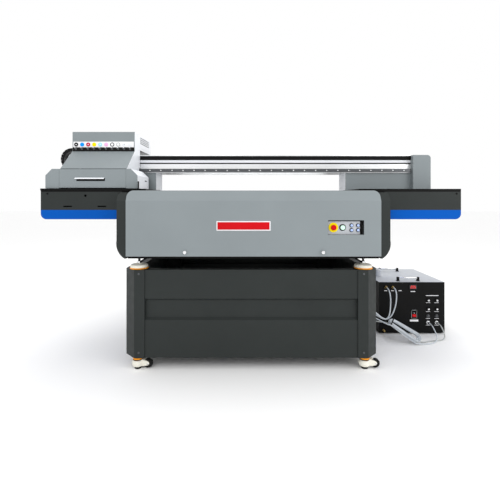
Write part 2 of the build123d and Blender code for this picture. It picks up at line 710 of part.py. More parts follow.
hank_middle, hank_length, hank_width, hank_thick = Vector(1131, 492, 92), 272.0, 124.0, 26.0
hank_along, hank_side = Vector(0.80, -0.34, -0.49), Vector(0.30, 0.80, 0.52)


def make_cable_hank():
    """Outer shape of the spare cable: a flat leaf from its tie down to the floor."""
    normal = hank_along.cross(hank_side).normalized()
    plane = Plane(origin=hank_middle - normal * (hank_thick / 2), x_dir=hank_along, z_dir=normal)
    return extrude(plane * Ellipse(hank_length / 2, hank_width / 2), hank_thick)


# ---- write every node ----
stand_place = Pos(stand_x, 0, 0)
put("stand_posts", *[stand_place * shape for shape in make_posts() + make_cabinet_frame()])
put("stand_panels", *[stand_place * shape for shape in make_cabinet_panels()])
put("levelling_feet", *[make_isolator(stand_x + side * caster_x, y) for side in (-1, 1) for y in isolator_y])
caster_places = {
    "front_left": (stand_x - caster_x, caster_y[0]),
    "front_right": (stand_x + caster_x, caster_y[0]),
    "rear_left": (stand_x - caster_x, caster_y[1]),
    "rear_right": (stand_x + caster_x, caster_y[1]),
}
for place, (x, y) in caster_places.items():
    yoke, wheel = make_caster(x, y)
    put(f"caster_{place}", yoke)
    put(f"caster_wheel_{place}", wheel)
put("base_frame", *make_chassis(), *make_travel_rails())
put("vacuum_table", make_table())
put("front_cover", make_front_cover())
put("body_panels", make_side_cover(), mirror_x(make_side_cover()), make_rear_cover())
put("control_panel", make_control_panel())
for name, *sizes in buttons:
    put(name, make_button(*sizes))
put("gantry_wings", *[make(side) for side in (-1, 1) for make in (make_wing_box, make_wing_plate)])
put("wing_trays", make_wing_skirt(-1), make_wing_skirt(1))
put("gantry_legs", *make_leg(-1), *make_leg(1))
put("gantry_beam", make_beam())
put("beam_rail", make_beam_rail())
put("end_caps", *make_end_caps())
put("cable_tray", *make_cable_tray())
put("capping_station", *make_capping_station())
put("carriage_plate", make_carriage_plate())
put("drag_chain", make_chain_loop())
put("carriage_housing", make_housing())
put("lamp_housings", make_lamp(-1), make_lamp(1))
put("print_heads", make_print_heads(), make_ink_tanks())
put("carriage_door", make_carriage_door())
for index in range(switch_count):
    put(f"ink_switch_{index + 1}", make_ink_switch(index))
put("box_case", *make_box_case())
put("box_panel", make_box_panel())
put("box_handles", *[make_handle(x, y) for x, y in handle_places])
put("box_fittings", *make_box_fittings())
knob_spots = [(x, z) for z in knob_rows for x in port_columns]
for index, (x, z) in enumerate(knob_spots):
    put(f"box_knob_{index + 1}", make_box_knob(x, z))
put("box_rocker", make_rocker())
put("water_tube_a", cord_tube(tube_a_route, tube_radius))
put("water_tube_b", cord_tube(tube_b_route, tube_radius))
put("lamp_cable_a", cord_tube(lamp_drop_a, cable_radius), cord_tube(lamp_tail_a, cable_radius))
put("lamp_cable_b", cord_tube(lamp_route_b, cable_radius))
put("cable_hank", make_cable_hank())
print(len(written), "nodes")
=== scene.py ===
"""Flatbed UV printer: materials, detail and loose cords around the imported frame, in metres."""
import json
from math import cos, pi, radians, sin

import bmesh
import bpy
from mathutils import Matrix, Vector

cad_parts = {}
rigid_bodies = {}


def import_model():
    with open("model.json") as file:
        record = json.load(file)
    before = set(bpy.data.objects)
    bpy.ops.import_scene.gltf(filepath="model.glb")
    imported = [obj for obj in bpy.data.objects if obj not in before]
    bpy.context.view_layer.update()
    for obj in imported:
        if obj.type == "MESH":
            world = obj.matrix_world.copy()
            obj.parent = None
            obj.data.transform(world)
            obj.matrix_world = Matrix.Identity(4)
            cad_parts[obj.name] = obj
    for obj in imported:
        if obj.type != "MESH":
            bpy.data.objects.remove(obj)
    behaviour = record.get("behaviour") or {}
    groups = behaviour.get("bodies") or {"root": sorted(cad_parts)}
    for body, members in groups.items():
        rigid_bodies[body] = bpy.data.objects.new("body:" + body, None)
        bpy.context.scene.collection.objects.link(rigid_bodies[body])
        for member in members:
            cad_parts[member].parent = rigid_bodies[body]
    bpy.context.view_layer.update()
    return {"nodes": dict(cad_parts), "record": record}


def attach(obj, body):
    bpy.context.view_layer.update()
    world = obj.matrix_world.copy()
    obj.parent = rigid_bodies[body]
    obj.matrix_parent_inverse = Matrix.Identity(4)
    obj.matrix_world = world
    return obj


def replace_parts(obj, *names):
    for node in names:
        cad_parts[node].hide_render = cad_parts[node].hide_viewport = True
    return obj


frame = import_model()
nodes = frame["nodes"]
MM = 0.001
# the bed's middle plane and the front cover's face, in mm from the frame's origin
BED_X, COVER_Y = -7.5, -800.0


def at(x, y, z):
    """A point given in mm from the bed's middle plane, the front cover's face and the floor."""
    return Vector(((x + BED_X) * MM, (y + COVER_Y) * MM, z * MM))


# ---- camera, floor and light ----
camera_data = bpy.data.cameras.new("camera")
camera_data.lens = 25.92
camera_data.sensor_width = 36.0
camera_data.shift_x = 0.004
camera_data.shift_y = -0.1
camera = bpy.data.objects.new("camera", camera_data)
camera.location = at(-33.5, -2196, 1059)
camera.rotation_euler = (pi / 2, 0, 0)
bpy.context.collection.objects.link(camera)
bpy.context.scene.camera = camera


def add_area(name, location, target, size, power):
    data = bpy.data.lights.new(name, "AREA")
    data.shape = "RECTANGLE"
    data.size, data.size_y = size
    data.energy = power
    light = bpy.data.objects.new(name, data)
    light.location = location
    light.rotation_euler = (Vector(target) - Vector(location)).to_track_quat("-Z", "Y").to_euler()
    bpy.context.collection.objects.link(light)


add_area("key_light", (-1.6, -4.6, 3.6), (0, 0, 0.9), (2.6, 2.0), 40)
add_area("fill_light", (3.6, -3.2, 2.4), (0, 0, 0.8), (2.4, 2.0), 46)
add_area("top_light", (0, 0.4, 4.4), (0, 0, 0.8), (4.0, 3.0), 50)
add_area("back_light", (0.5, 4.6, 3.0), (0, 0, 0.9), (3.0, 2.0), 40)

world = bpy.data.worlds.new("studio")
world.use_nodes = True
world.node_tree.nodes["Background"].inputs["Color"].default_value = (1.0, 1.0, 1.0, 1.0)
world.node_tree.nodes["Background"].inputs["Strength"].default_value = 1.0
bpy.context.scene.world = world
bpy.context.scene.view_settings.view_transform = "Standard"


# ---- materials ----
class Surface:
    """A node material: principled shader with noise in its colour, its roughness and its bump."""

    def __init__(
        self, name, color, roughness, metallic=0.0, grain=400.0, bump=0.04, tint=0.08, specular=0.35
    ):
        self.name = name
        self.material = bpy.data.materials.new(name)
        self.material.use_nodes = True
        self.tree = self.material.node_tree
        self.shader = self.tree.nodes["Principled BSDF"]
        self.shader.inputs["Metallic"].default_value = metallic
        self.shader.inputs["Specular IOR Level"].default_value = specular
        self.position = self.tree.nodes.new("ShaderNodeTexCoord").outputs["Object"]
        self.vary_color(color, tint)
        self.vary_roughness(roughness)
        self.add_bump(grain, bump)

    def noise(self, scale, detail=3.0, stretch=(1, 1, 1)):
        mapping = self.tree.nodes.new("ShaderNodeMapping")
        mapping.inputs["Scale"].default_value = stretch
        self.tree.links.new(self.position, mapping.inputs["Vector"])
        noise = self.tree.nodes.new("ShaderNodeTexNoise")
        noise.inputs["Scale"].default_value = scale
        noise.inputs["Detail"].default_value = detail
        self.tree.links.new(mapping.outputs["Vector"], noise.inputs["Vector"])
        return noise.outputs["Fac"]

    def ramp(self, value, low, high):
        """A smooth change from low at noise 0.3 to high at 0.7, both of them colours or greys."""
        ramp = self.tree.nodes.new("ShaderNodeValToRGB")
        ramp.color_ramp.elements[0].position = 0.3
        ramp.color_ramp.elements[0].color = low
        ramp.color_ramp.elements[1].position = 0.7
        ramp.color_ramp.elements[1].color = high
        self.tree.links.new(value, ramp.inputs["Fac"])
        return ramp.outputs["Color"]

    def vary_color(self, color, tint):
        low = [c * (1 - tint) for c in color] + [1]
        high = [min(1.0, c * (1 + tint)) for c in color] + [1]
        self.tree.links.new(self.ramp(self.noise(3.0), low, high), self.shader.inputs["Base Color"])

    def vary_roughness(self, roughness):
        low, high = roughness * 0.88, min(1.0, roughness * 1.14)
        value = self.ramp(self.noise(24.0), [low] * 3 + [1], [high] * 3 + [1])
        self.tree.links.new(value, self.shader.inputs["Roughness"])

    def add_bump(self, grain, strength):
        bevel = self.tree.nodes.new("ShaderNodeBevel")
        bevel.inputs["Radius"].default_value = 0.0008
        bump = self.tree.nodes.new("ShaderNodeBump")
        bump.inputs["Strength"].default_value = strength
        bump.inputs["Distance"].default_value = 0.0004
        self.tree.links.new(self.noise(grain), bump.inputs["Height"])
        self.tree.links.new(bevel.outputs["Normal"], bump.inputs["Normal"])
        self.tree.links.new(bump.outputs["Normal"], self.shader.inputs["Normal"])

    def brush(self, stretch):
        """Fine lines from brushing or extrusion, long in the direction where stretch is small."""
        lines = self.ramp(self.noise(300.0, 2.0, stretch), (0.24, 0.24, 0.24, 1), (0.42, 0.42, 0.42, 1))
        self.tree.links.new(lines, self.shader.inputs["Roughness"])
        return self

    def coat(self, weight):
        self.shader.inputs["Coat Weight"].default_value = weight
        self.shader.inputs["Coat Roughness"].default_value = 0.12
        return self

    def glow(self, color, strength):
        self.shader.inputs["Emission Color"].default_value = (*color, 1)
        self.shader.inputs["Emission Strength"].default_value = strength
        return self


surfaces = [
    Surface("charcoal_paint", (0.021, 0.025, 0.024), 0.5, bump=0.10, specular=0.22),
    Surface("grey_paint", (0.222, 0.252, 0.264), 0.42, bump=0.08, tint=0.03),
    Surface("black_paint", (0.003, 0.003, 0.003), 0.5, bump=0.10, specular=0.12),
    Surface("blue_paint", (0.001, 0.085, 0.42), 0.4, bump=0.06, tint=0.05, specular=0.06),
    Surface("white_paint", (0.80, 0.82, 0.86), 0.45, bump=0.06, tint=0.02),
    Surface("light_grey_paint", (0.50, 0.52, 0.55), 0.5, bump=0.06, tint=0.02, specular=0.2),
    Surface("aluminium", (0.74, 0.75, 0.76), 0.35, 0.9, tint=0.04).brush((0.02, 1, 1)),
    Surface("steel", (0.10, 0.104, 0.11), 0.3, 0.95).brush((0.02, 1, 1)),
    Surface("chrome", (0.78, 0.79, 0.80), 0.12, 1.0, bump=0.01),
    Surface("brass", (0.62, 0.44, 0.16), 0.28, 1.0, bump=0.02),
    Surface("black_rubber", (0.008, 0.008, 0.008), 0.75, grain=900, bump=0.25, specular=0.15),
    Surface("ivory_plastic", (0.80, 0.78, 0.69), 0.5, grain=700, bump=0.08),
    Surface("orange_rubber", (0.90, 0.33, 0.01), 0.55, grain=700, bump=0.1),
    Surface("black_plastic", (0.004, 0.004, 0.004), 0.5, grain=900, bump=0.12, specular=0.15),
    Surface("red_plastic", (0.56, 0.002, 0.006), 0.35, bump=0.02, specular=0.12),
    Surface("yellow_plastic", (0.94, 0.74, 0.0), 0.4, bump=0.03, specular=0.1),
    Surface("green_plastic", (0.62, 0.90, 0.74), 0.25, bump=0.02).coat(0.4),
    Surface("blue_plastic", (0.42, 0.54, 0.86), 0.25, bump=0.02).coat(0.4),
    Surface("white_plastic", (0.82, 0.82, 0.84), 0.35, grain=600, bump=0.04),
    Surface("ink_cyan", (0.0, 0.30, 0.90), 0.4, bump=0.01, specular=0.1),
    Surface("ink_crimson", (0.52, 0.0, 0.05), 0.4, bump=0.01, specular=0.1),
    Surface("ink_pink", (0.80, 0.42, 0.68), 0.3, bump=0.01),
    Surface("ink_pale", (0.36, 0.70, 0.84), 0.3, bump=0.01),
    Surface("clear_tube", (0.56, 0.60, 0.64), 0.25, grain=200, bump=0.02).coat(0.5),
    Surface("grey_cable", (0.42, 0.44, 0.43), 0.4, grain=500, bump=0.05),
    Surface("display_red", (0.6, 0.0, 0.0), 0.3).glow((1.0, 0.0, 0.0), 1.2),
    Surface("dark_glass", (0.006, 0.006, 0.008), 0.08, bump=0.0).coat(0.8),
]
looks = {surface.name: surface for surface in surfaces}

slot_of = {part["node"]: part["material_slot"] for part in frame["record"]["subparts"]}
for name, node in nodes.items():
    node.data.materials.clear()
    node.data.materials.append(looks[slot_of[name]].material)
floor_look = Surface("studio_floor", (0.97, 0.97, 0.97), 0.8, bump=0.0, tint=0.0)


# ---- mesh helpers ----
def piece(name, mesh, body, slot, smooth=True):
    """Puts a finished mesh in the scene as a piece of the object."""
    obj = bpy.data.objects.new(name, mesh)
    bpy.context.collection.objects.link(obj)
    mesh.materials.append(looks[slot].material)
    if smooth:
        mesh.shade_smooth()
        mesh.set_sharp_from_angle(angle=radians(32))
    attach(obj, body)
    return obj


def finish_mesh(builder, name):
    bmesh.ops.recalc_face_normals(builder, faces=builder.faces)
    mesh = bpy.data.meshes.new(name)
    builder.to_mesh(mesh)
    builder.free()
    return mesh


def add_block(builder, low, high, bevel=0.0, segments=2):
    """A box between two corners, with rounded edges."""
    made = bmesh.ops.create_cube(builder, size=1.0)["verts"]
    middle, size = (low + high) / 2, high - low
    for vert in made:
        vert.co = Vector(vert.co[i] * size[i] + middle[i] for i in range(3))
    if bevel:
        edges = list({edge for vert in made for edge in vert.link_edges})
        bmesh.ops.bevel(builder, geom=edges, offset=bevel, segments=segments, profile=0.5, affect="EDGES")


def join_rings(builder, rings):
    """Faces between each ring of vertices and the next."""
    for lower, upper in zip(rings, rings[1:]):
        for i in range(len(lower)):
            after = (i + 1) % len(lower)
            builder.faces.new((lower[i], lower[after], upper[after], upper[i]))


def add_prism(builder, outline, offset):
    """A prism on an outline of points, pushed by the vector offset."""
    lower = [builder.verts.new(point) for point in outline]
    upper = [builder.verts.new(point + offset) for point in outline]
    builder.faces.new(lower)
    builder.faces.new(list(reversed(upper)))
    join_rings(builder, [lower, upper])


def add_lathe(builder, base, axis, profile, sides=48, flutes=0, flute_depth=0.0):
    """Turns a profile of (radius, height) about an axis; flutes cut a grip into its largest radii."""
    turn = Vector((0, 0, 1)).rotation_difference(axis).to_matrix()
    widest = max(radius for radius, height in profile)
    rings = []
    for radius, height in profile:
        ring = []
        for i in range(sides):
            angle = 2 * pi * i / sides
            grip = flute_depth * (0.5 + 0.5 * cos(flutes * angle)) if radius > 0.9 * widest else 0.0
            reach = max(radius - grip, 1e-5)
            spot = Vector((reach * cos(angle), reach * sin(angle), height))
            ring.append(builder.verts.new(base + turn @ spot))
        rings.append(ring)
    join_rings(builder, rings)
    builder.faces.new(list(reversed(rings[0])))
    builder.faces.new(rings[-1])


def lathe(name, base, axis, profile, body, slot, **options):
    """One turned piece; its profile is in mm."""
    builder = bmesh.new()
    scaled = [(radius * MM, height * MM) for radius, height in profile]
    add_lathe(builder, base, Vector(axis), scaled, **options)
    return piece(name, finish_mesh(builder, name), body, slot)


def blocks(name, corners, body, slot, bevel=0.8):
    """One piece of several boxes; corners are pairs of points in mm."""
    builder = bmesh.new()
    for low, high in corners:
        add_block(builder, at(*low), at(*high), bevel * MM)
    return piece(name, finish_mesh(builder, name), body, slot)


FRONT, UP, RIGHT = (0, -1, 0), (0, 0, 1), (1, 0, 0)

# ---- free cords ----
STAND_X = -13.0  # the stand's middle
ENTRY_X = 790.0 + STAND_X  # inside the cabinet's side panel
tube_a_route = [
    (1054, 625, 371), (1054, 605, 371), (1060, 588, 352), (1064, 578, 318), (1064, 574, 266),
    (1058, 568, 212), (1048, 564, 168), (1028, 562, 144), (994, 562, 154), (948, 562, 194),
    (900, 561, 234), (846, 560, 259), (812, 560, 262), (ENTRY_X, 560, 262),
]
tube_b_route = [
    (1108, 625, 371), (1108, 604, 371), (1112, 588, 350), (1112, 578, 312), (1104, 574, 258),
    (1092, 577, 208), (1074, 582, 164), (1046, 585, 138), (1008, 586, 140), (956, 586, 170),
    (904, 585, 204), (846, 584, 224), (812, 584, 226), (ENTRY_X, 584, 226),
]
lamp_drop_a = [
    (1389, 619, 91), (1389, 596, 91), (1392, 570, 74), (1396, 544, 48), (1392, 516, 28),
    (1376, 488, 15), (1350, 464, 8), (1316, 446, 5.5), (1278, 434, 6), (1238, 426, 10),
]
lamp_tail_a = [
    (1010, 494, 128), (978, 512, 144), (940, 532, 160), (900, 546, 176), (852, 554, 188),
    (812, 556, 190), (ENTRY_X, 556, 190),
]
lamp_route_b = [
    (1456, 619, 91), (1456, 596, 91), (1460, 572, 72), (1462, 545, 42), (1452, 521, 16),
    (1424, 508, 5), (1384, 503, 4.2), (1338, 494, 4.2), (1296, 480, 4.4), (1262, 468, 6),
    (1228, 460, 14), (1180, 480, 43), (1126, 504, 76), (1070, 528, 110), (1046, 538, 120),
    (1014, 548, 126), (980, 560, 126), (944, 571, 129), (902, 579, 138), (856, 584, 149),
    (812, 584, 154), (ENTRY_X, 584, 154),
]
# the spare cable is a long hank that slopes down to the right, between the cabinet and the box
HANK_MIDDLE = Vector((1131, 492, 92))
HANK_ALONG = Vector((0.80, -0.34, -0.49)).normalized()
HANK_NORMAL = HANK_ALONG.cross(Vector((0.30, 0.80, 0.52))).normalized()
HANK_ACROSS = HANK_NORMAL.cross(HANK_ALONG)


def hank_place(along, across, depth):
    return HANK_MIDDLE + HANK_ALONG * along + HANK_ACROSS * across + HANK_NORMAL * depth


def hank_points(steps=16):
    """Turns of the spare cable: long loops that wind inwards in one layer and outwards in the next."""
    straight, outer, pitch, turns_in, taper = 82.0, 54.0, 11.3, 3.0, 0.68
    points = []
    turns = 2 * turns_in + 0.06
    for i in range(int(turns * steps) + 1):
        turned = i / steps
        angle = radians(-55) - 2 * pi * turned
        inwards = min(turned, turns_in)
        outwards = max(0.0, turned - turns_in - 0.5)
        reach = outer - pitch * (inwards - outwards)
        layer = min(1.0, max(0.0, (turned - turns_in) / 0.5))
        end, width = (straight, reach) if cos(angle) > 0 else (-straight, taper * reach)
        points.append(hank_place(end + width * cos(angle), width * sin(angle), 10.0 * layer - 5.0))
    points.append(hank_place(-straight, -taper * reach, 5.0))
    return [tuple(point) for point in points]


def cord_curve(name, route, diameter, slot):
    data = bpy.data.curves.new(name, "CURVE")
    data.dimensions = "3D"
    data.bevel_depth = diameter / 2 * MM
    data.bevel_resolution = 5
    data.resolution_u = 8
    data.use_fill_caps = True
    spline = data.splines.new("NURBS")
    spline.points.add(len(route) - 1)
    for point, place in zip(spline.points, route):
        point.co = (*at(*place), 1.0)
    spline.order_u = 3
    spline.use_endpoint_u = True
    data.materials.append(looks[slot].material)
    obj = bpy.data.objects.new(name, data)
    bpy.context.collection.objects.link(obj)
    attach(obj, "machine")
    return obj


water_tube_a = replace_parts(cord_curve("water_tube_a_line", tube_a_route, 10, "clear_tube"), "water_tube_a")
water_tube_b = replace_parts(cord_curve("water_tube_b_line", tube_b_route, 10, "clear_tube"), "water_tube_b")
lamp_route_a = lamp_drop_a + hank_points() + lamp_tail_a
lamp_line_a = cord_curve("lamp_cable_a_line", lamp_route_a, 8, "clear_tube")
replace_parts(lamp_line_a, "lamp_cable_a", "cable_hank")
lamp_line_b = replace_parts(cord_curve("lamp_cable_b_line", lamp_route_b, 8, "grey_cable"), "lamp_cable_b")


# ---- second colours on carried-over nodes: real paint, and painted light and shade ----
def paint_faces(name, slot, test):
    """Gives the node's faces that pass the test, on their centre and normal, a second material: a real
    second colour on some nodes, painted light and shade on others.
    """
    mesh = nodes[name].data
    mesh.materials.append(looks[slot].material)
    for face in mesh.polygons:
        if test(face.center, face.normal):
            face.material_index = len(mesh.materials) - 1


# painted light: the right-facing sides of the carriage and right lamp housings and the inner faces of the
# gantry legs are painted white, for the light that falls on them
paint_faces("carriage_housing", "white_paint", lambda centre, normal: normal.x > 0.9)
paint_faces("lamp_housings", "white_paint", lambda centre, normal: normal.x > 0.5 and centre.x > -0.8)
paint_faces(
    "gantry_legs", "white_paint",
    lambda centre, normal: normal.x * centre.x < -0.5 and abs(centre.x) < 0.75,
)
paint_faces("gantry_wings", "black_paint", lambda centre, normal: centre.z > 1.1125)
paint_faces("box_case", "light_grey_paint", lambda centre, normal: centre.z > 0.4095)
paint_faces("control_panel", "light_grey_paint", lambda centre, normal: normal.y < -0.9)
# painted shade: the side walls of the control panel's recess are painted black for the shade inside it
paint_faces("control_panel", "black_plastic", lambda centre, normal: abs(normal.y) < 0.5)


# ---- carriage ----
DOT_FIRST, DOT_PITCH, DOT_Z = -1226.0, 41.7, 1444.0
SWITCH_Y, SWITCH_Z = 308.0, 1412.5
WIDE_MARKS = (6, 7)  # labels with a wide middle mark
dot_colors = [
    ("black_plastic", "white_plastic"), ("ink_cyan", "ink_cyan"), ("ink_crimson", "white_plastic"),
    ("yellow_plastic", "yellow_plastic"), ("ink_pale", "white_plastic"), ("ink_pink", "ink_pink"),
    ("black_plastic", "white_plastic"), ("grey_cable", "white_plastic"), ("white_paint", "grey_cable"),
    ("white_paint", "white_plastic"),
]


def build_ink_row():
    """White label with an ink colour over each switch, and the black strip that the switches stand in."""
    blocks("ink_label", [((-1246, 302.8, 1425), (-826, 304, 1464))], "head", "white_plastic", 0.3)
    blocks("switch_strip", [((-1249, 300, 1396), (-823, 304, 1424))], "head", "black_plastic", 1.0)
    dot = [(14.4, 0), (14.4, 0.5), (14.0, 0.7)]
    collar = [(7.0, 0), (7.0, 1.8), (6.2, 2.6), (4.8, 2.8), (4.8, 4.2), (4.2, 4.8)]
    for i, (rim, centre) in enumerate(dot_colors):
        x = DOT_FIRST + DOT_PITCH * i
        lathe(f"ink_dot_{i + 1}", at(x, 302.8, DOT_Z), FRONT, dot, "head", rim)
        small = 9.0 if i in WIDE_MARKS else 4.0
        mark = [(small, 0), (small, 0.3)]
        lathe(f"ink_dot_mark_{i + 1}", at(x, 302.1, DOT_Z), FRONT, mark, "head", centre)
        lathe(f"switch_collar_{i + 1}", at(x, 300, SWITCH_Z), FRONT, collar, "head", "steel", sides=24)


def build_switches():
    """Toggle levers, tipped up at rest."""
    tilt = radians(14)
    direction = (0, -cos(tilt), sin(tilt))
    profile = [(4.0, 0), (4.0, 3), (1.9, 7), (2.0, 14), (2.8, 21), (3.2, 24), (2.8, 26.2), (1.3, 27.2)]
    for i in range(len(dot_colors)):
        place = at(DOT_FIRST + DOT_PITCH * i, SWITCH_Y, SWITCH_Z)
        name = f"ink_switch_{i + 1}"
        lever = lathe(f"switch_lever_{i + 1}", place, direction, profile, name, "chrome", sides=24)
        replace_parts(lever, name)


def build_lamp_slot():
    """Painted shade of the cable slot in the side of the right lamp housing: a thin black sheet on the
    surface.
    """
    # painted shade: a black sheet for the dark inside of the slot
    slot = [((-746.2, 290, 1186), (-745.6, 335, 1193))]
    blocks("lamp_slot", slot, "head", "black_plastic", 0.1)


def build_door_lip():
    """Folded grip along the door's slot, painted white as a highlight, and a black sheet painted as the
    shadow under it.
    """
    builder = bmesh.new()
    section = [
        (126, 1204), (119, 1203), (113, 1198), (112, 1194.5), (114, 1194), (120, 1199), (126, 1200.5),
    ]
    add_prism(builder, [at(-1147, y, z) for y, z in section], Vector((0.187, 0, 0)))
    # painted highlight: the lip is white for the light along its edge
    piece("door_lip", finish_mesh(builder, "door_lip"), "head_door", "white_paint", smooth=False)
    # painted shadow: a black sheet for the shade under the lip
    blocks("door_pocket", [((-1140, 132, 1182), (-957, 134, 1199))], "head_door", "black_plastic", 0.2)


CHAIN_X, CHAIN_Y, CHAIN_Z, CHAIN_R = -1418.0, 662, 1380.0, 74.0
CHAIN_START = -1254  # where the top run leaves the carriage


def build_chain():
    """Cable chain: hinged links with side plates, round the loop and along the top run."""
    builder = bmesh.new()
    pitch = 22.0
    run = 163.0
    count = int((run + pi * CHAIN_R) / pitch)
    for i in range(count):
        length = (i + 0.5) * pitch
        if length < run:
            place, turn = (CHAIN_START - length, CHAIN_Z + CHAIN_R), 0.0
        else:
            turn = (length - run) / CHAIN_R
            place = (CHAIN_X - CHAIN_R * sin(turn), CHAIN_Z + CHAIN_R * cos(turn))
        spin = Matrix.Rotation(-turn, 4, "Y")
        centre = at(place[0], CHAIN_Y, place[1])
        start = len(builder.verts)
        for y0, y1, half, reach in ((-30, -25, 12.8, 11.2), (25, 30, 12.8, 11.2), (-25, 25, 11.0, 10.4)):
            low, high = Vector((-reach, y0, -half)) * MM, Vector((reach, y1, half)) * MM
            add_block(builder, low, high, 1.2 * MM, 1)
        for vert in list(builder.verts)[start:]:
            vert.co = spin @ vert.co + centre
    links = finish_mesh(builder, "chain_links")
    chain = piece("chain_links", links, "carriage", "black_plastic", smooth=False)
    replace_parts(chain, "drag_chain")


build_ink_row()
build_switches()
build_lamp_slot()
build_door_lip()
build_chain()


# ---- gantry ----
def build_beam_trim():
    """Bright band, belt groove, top edge and rail screws along the beam."""
    blocks("beam_band", [((-1262, 428.6, 1331), (1150, 430, 1349))], "gantry", "white_paint", 0.3)
    blocks("beam_edge", [((-1262, 424.6, 1379), (1150, 427, 1384))], "gantry", "aluminium", 0.4)
    blocks("drive_belt", [((-1262, 434, 1322.5), (1150, 436, 1329))], "gantry", "black_rubber", 0.2)
    builder = bmesh.new()
    first, spacing, count = -1224, 80, 30
    screw = [(0.0046, -0.003), (0.0046, 0.0), (0.004, 0.0004)]
    for i in range(count):
        add_lathe(builder, at(first + spacing * i, 410.4, 1273.5), Vector(FRONT), screw, 16)
    piece("rail_screws", finish_mesh(builder, "rail_screws"), "gantry", "chrome")


build_beam_trim()


# ---- control panel and front cover ----
PLATE_Y, SHAFT_Y = 18.0, 24  # the recessed plate's face, and where the buttons' shafts start
STOP_Z = 890


def disc(name, x, z, y, radius, thick, body, slot):
    """A flat round piece that faces the front, with its edge broken."""
    edge = min(1.0, thick / 3)
    profile = [(radius, 0), (radius, thick - edge), (radius - edge, thick)]
    return lathe(name, at(x, y, z), FRONT, profile, body, slot)


def build_controls():
    """Painted shade along the recessed plate's top and right edges, the emergency stop, the start button and
    the four small buttons.
    """
    # painted shade: thin black strips on the plate stand for the shadow of the recess's top and right walls
    edges = [((655.5, 19, 848), (674, 20, 934)), ((457, 19, 928), (674, 20, 934))]
    blocks("plate_edges", edges, "machine", "black_plastic", 0.2)
    disc("stop_plate", 491, STOP_Z, PLATE_Y, 29.8, 1.2, "machine", "yellow_plastic")
    mushroom = [
        (9, 0), (9, 13.2), (11, 13.4), (15.5, 14.2), (17, 16.4), (17, 18.5), (15, 21), (9.5, 22.4),
        (4, 22.9),
    ]
    stop = lathe(
        "stop_mushroom", at(491, SHAFT_Y, STOP_Z), FRONT, mushroom,
        "emergency_stop_button", "red_plastic", sides=64,
    )
    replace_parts(stop, "emergency_stop_button")
    disc("start_bezel", 548, STOP_Z, PLATE_Y, 20.5, 0.8, "machine", "black_plastic")
    cap = [(8, 0), (8, 9.6), (14.6, 9.8), (15, 12.4), (14, 15.6), (9, 16.8), (3, 17.2)]
    start = lathe("start_cap", at(548, SHAFT_Y, STOP_Z), FRONT, cap, "start_button", "green_plastic")
    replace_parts(start, "start_button")
    profile = [(5, 0), (5, 8.8), (8.4, 9.0), (8.6, 12.4), (7.6, 14.0), (2, 14.4)]
    keys = [
        ("light_button", 603, 903), ("vacuum_button", 643, 903),
        ("lift_button", 603, 874), ("home_button", 643, 874),
    ]
    for name, x, z in keys:
        disc(f"{name}_bezel", x, z, PLATE_Y, 12.4, 0.8, "machine", "black_plastic")
        key = lathe(f"{name}_cap", at(x, SHAFT_Y, z), FRONT, profile, name, "blue_plastic", sides=32)
        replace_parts(key, name)


def build_cover_trim():
    """Thumb screws that hold the cover, and a plain badge."""
    knob = [(7, 0), (7, 3), (11.5, 4), (11.5, 15), (10.4, 16.5), (3, 17)]
    for i, x in enumerate((-418, 423)):
        lathe(
            f"cover_screw_{i + 1}", at(x, 0, 741), FRONT, knob, "machine", "chrome",
            sides=96, flutes=24, flute_depth=0.0007,
        )
    blocks("badge_rim", [((-226, -1.4, 872), (104, 0, 930))], "machine", "white_plastic", 0.6)
    blocks("badge", [((-220, -2.6, 878), (98, -1.4, 924))], "machine", "red_plastic", 0.8)


build_controls()
build_cover_trim()


# ---- stand: isolators, casters and screws ----
CASTER_X, CASTER_Y, ISOLATOR_Y = 715.0, (78.0, 1322.0), (105.0, 1295.0)
ISOLATOR_Z = 624
WHEEL_OFFSET, WHEEL_Z = 66.0, 32
corner_names = [("front_left", -1, 0), ("front_right", 1, 0), ("rear_left", -1, 1), ("rear_right", 1, 1)]


def build_isolator(tag, x, y):
    """Rubber isolator on the stand's corner, with the threaded stud and nuts that carry the bed."""
    base = at(x, y, ISOLATOR_Z)
    ring = [(56, 0), (57.8, 1.5), (57.8, 6), (55, 8)]
    lathe(f"isolator_ring_{tag}", base, UP, ring, "machine", "orange_rubber")
    dome = [(55, 8), (55.5, 10), (55, 19), (52, 24), (44, 28), (22, 31), (21, 34), (15, 34.2)]
    lathe(f"isolator_dome_{tag}", base, UP, dome, "machine", "ivory_plastic", sides=64)
    for height, low, high in ((34, 0, 13), (62, 0, 10)):
        nut = [(13.5, low), (15, low + 1.5), (15, high - 1.5), (13.5, high)]
        seat = at(x, y, ISOLATOR_Z + height)
        lathe(f"stud_nut_{tag}_{height}", seat, UP, nut, "machine", "chrome", sides=6)
    thread = [(7.0 if i % 2 else 8.0, 30 + i * 1.5) for i in range(29)]
    lathe(f"stud_{tag}", base, UP, thread, "machine", "steel", sides=24)


